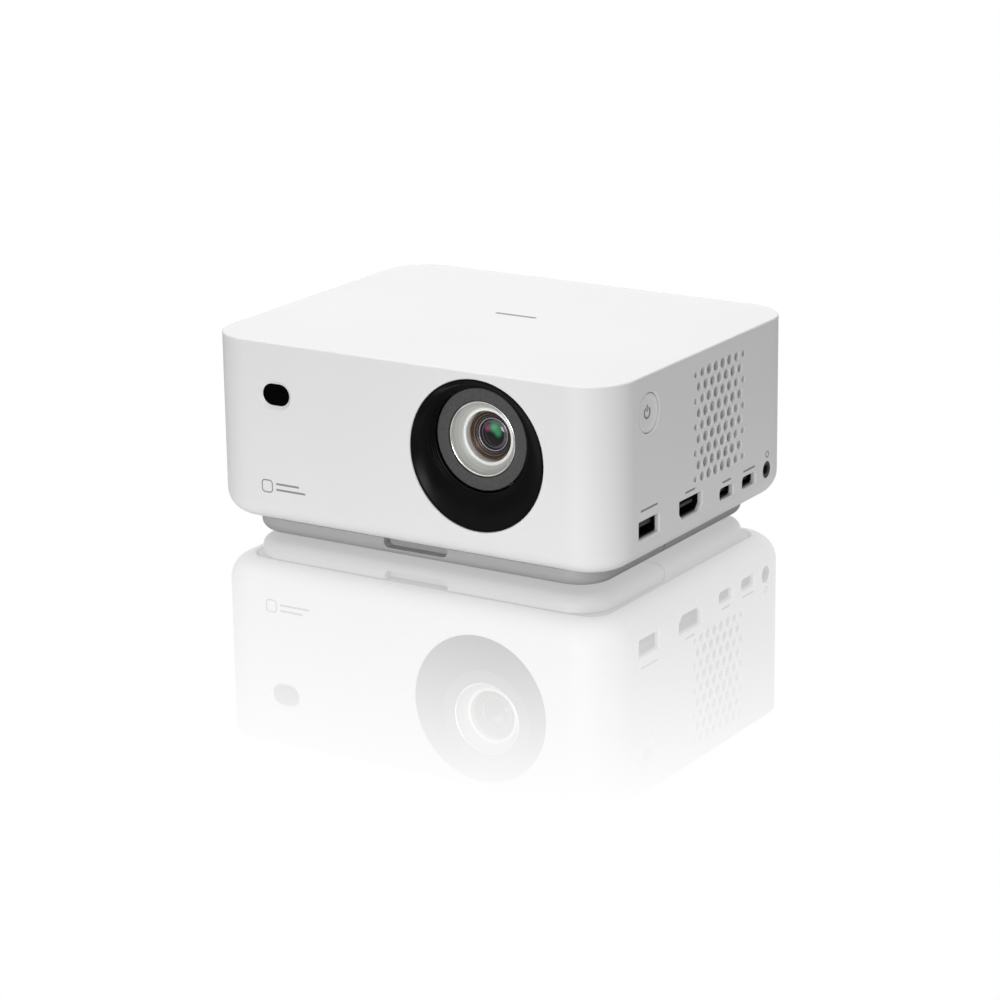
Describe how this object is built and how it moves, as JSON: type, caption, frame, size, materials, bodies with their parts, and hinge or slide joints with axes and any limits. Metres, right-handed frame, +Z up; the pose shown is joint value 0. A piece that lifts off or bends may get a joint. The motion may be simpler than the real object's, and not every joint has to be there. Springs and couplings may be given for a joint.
{
  "type": "home projector",
  "caption": "White rounded-box home projector with an offset lens in a gloss black dish, side sockets, vents and power button, on a grey plinth whose front half flips down as a stand.",
  "frame": {"origin": "on the surface it stands on, under the middle of the casing's outline", "axes": "+Z up; +Y from the lens face to the back; +X towards the side with the sockets, vents and power button"},
  "size_m": [0.164, 0.132, 0.074],
  "materials": {
    "white_shell": "fine satin texture",
    "grey_shell": "fine satin texture",
    "gloss_black": "polished",
    "black_plastic": "fine texture",
    "grey_plastic": "satin",
    "lens_glass": "coated, polished",
    "mirror_face": "polished",
    "brass_parts": "machined",
    "steel_parts": "plated",
    "cast_black": "black coated casting",
    "aluminium_parts": "plain",
    "copper_pipe": "copper, plain",
    "board": "solder mask",
    "rubber_pad": "matt"
  },
  "bodies": {
    "case": {"upper_casing": "white_shell", "window_collar": "white_shell", "base_tray": "grey_shell", "lens_bezel": "gloss_black", "sensor_window": "gloss_black", "lens_hood": "black_plastic", "lens_mount": "black_plastic", "light_prism": "lens_glass", "fold_mirror": "mirror_face", "focus_motor": "steel_parts", "engine_housing": "cast_black", "engine_lid": "aluminium_parts", "imaging_chip": "black_plastic", "imaging_board": "board", "chip_heat_sink": "aluminium_parts", "laser_heat_sink": "aluminium_parts", "laser_module": "brass_parts", "laser_board": "board", "heat_pipe_front": "copper_pipe", "heat_pipe_rear": "copper_pipe", "fan_frame": "black_plastic", "main_board": "board", "processor": "black_plastic", "processor_heat_sink": "aluminium_parts", "engine_bracket": "steel_parts", "usb_a_socket": "steel_parts", "hdmi_socket": "steel_parts", "usb_c_socket": "steel_parts", "usb_c_power_socket": "steel_parts", "audio_jack": "black_plastic", "button_board": "board", "tact_switch": "black_plastic", "sensor_board": "board", "focus_camera": "black_plastic", "speaker_box": "black_plastic", "speaker_cone": "black_plastic", "tripod_insert": "brass_parts", "hinge_pin_left": "steel_parts", "hinge_pin_right": "steel_parts", "screw_front_left": "steel_parts", "screw_front_right": "steel_parts", "screw_rear_left": "steel_parts", "screw_rear_right": "steel_parts", "foot_rear_left": "rubber_pad", "foot_rear_right": "rubber_pad"},
    "stand": {"kickstand": "grey_shell", "foot_front_left": "rubber_pad", "foot_front_right": "rubber_pad"},
    "button": {"power_button": "white_shell"},
    "rotor": {"fan_rotor": "black_plastic"},
    "ring": {"focus_ring": "grey_plastic"},
    "pinion": {"focus_pinion": "brass_parts"},
    "lens_group": {"lens_cone": "grey_plastic", "lens_barrel": "black_plastic", "front_lens": "lens_glass", "middle_lens": "lens_glass", "rear_lens": "lens_glass"}
  },
  "joints": [
    {"name": "stand_hinge", "type": "hinge", "parent": "case", "child": "stand", "pos_m": [0, -0.0133, 0.00475], "axis": [1, 0, 0], "range_deg": [0, 45]},
    {"name": "power_press", "type": "slide", "parent": "case", "child": "button", "axis": [-1, 0, 0], "range_m": [0, 0.0008], "stiffness_N_per_m": 600, "springref_m": -0.0015},
    {"name": "fan_spin", "type": "hinge", "parent": "case", "child": "rotor", "pos_m": [0.071, 0.0101, 0.0477], "axis": [1, 0, 0], "continuous": true},
    {"name": "focus_turn", "type": "hinge", "parent": "case", "child": "ring", "pos_m": [0.0305, -0.04925, 0.0499], "axis": [0, -1, 0], "range_deg": [0, 60]},
    {"name": "pinion_turn", "type": "hinge", "parent": "case", "child": "pinion", "pos_m": [0.01344, -0.04925, 0.03284], "axis": [0, -1, 0], "range_deg": [-240, 0]},
    {"name": "lens_travel", "type": "slide", "parent": "case", "child": "lens_group", "axis": [0, -1, 0], "range_m": [0, 0.001]}
  ],
  "couplings": [
    {"joint": "pinion_turn", "follows": "focus_turn", "ratio": -4},
    {"joint": "lens_travel", "follows": "focus_turn", "m_per_rad": 0.000954}
  ]
}
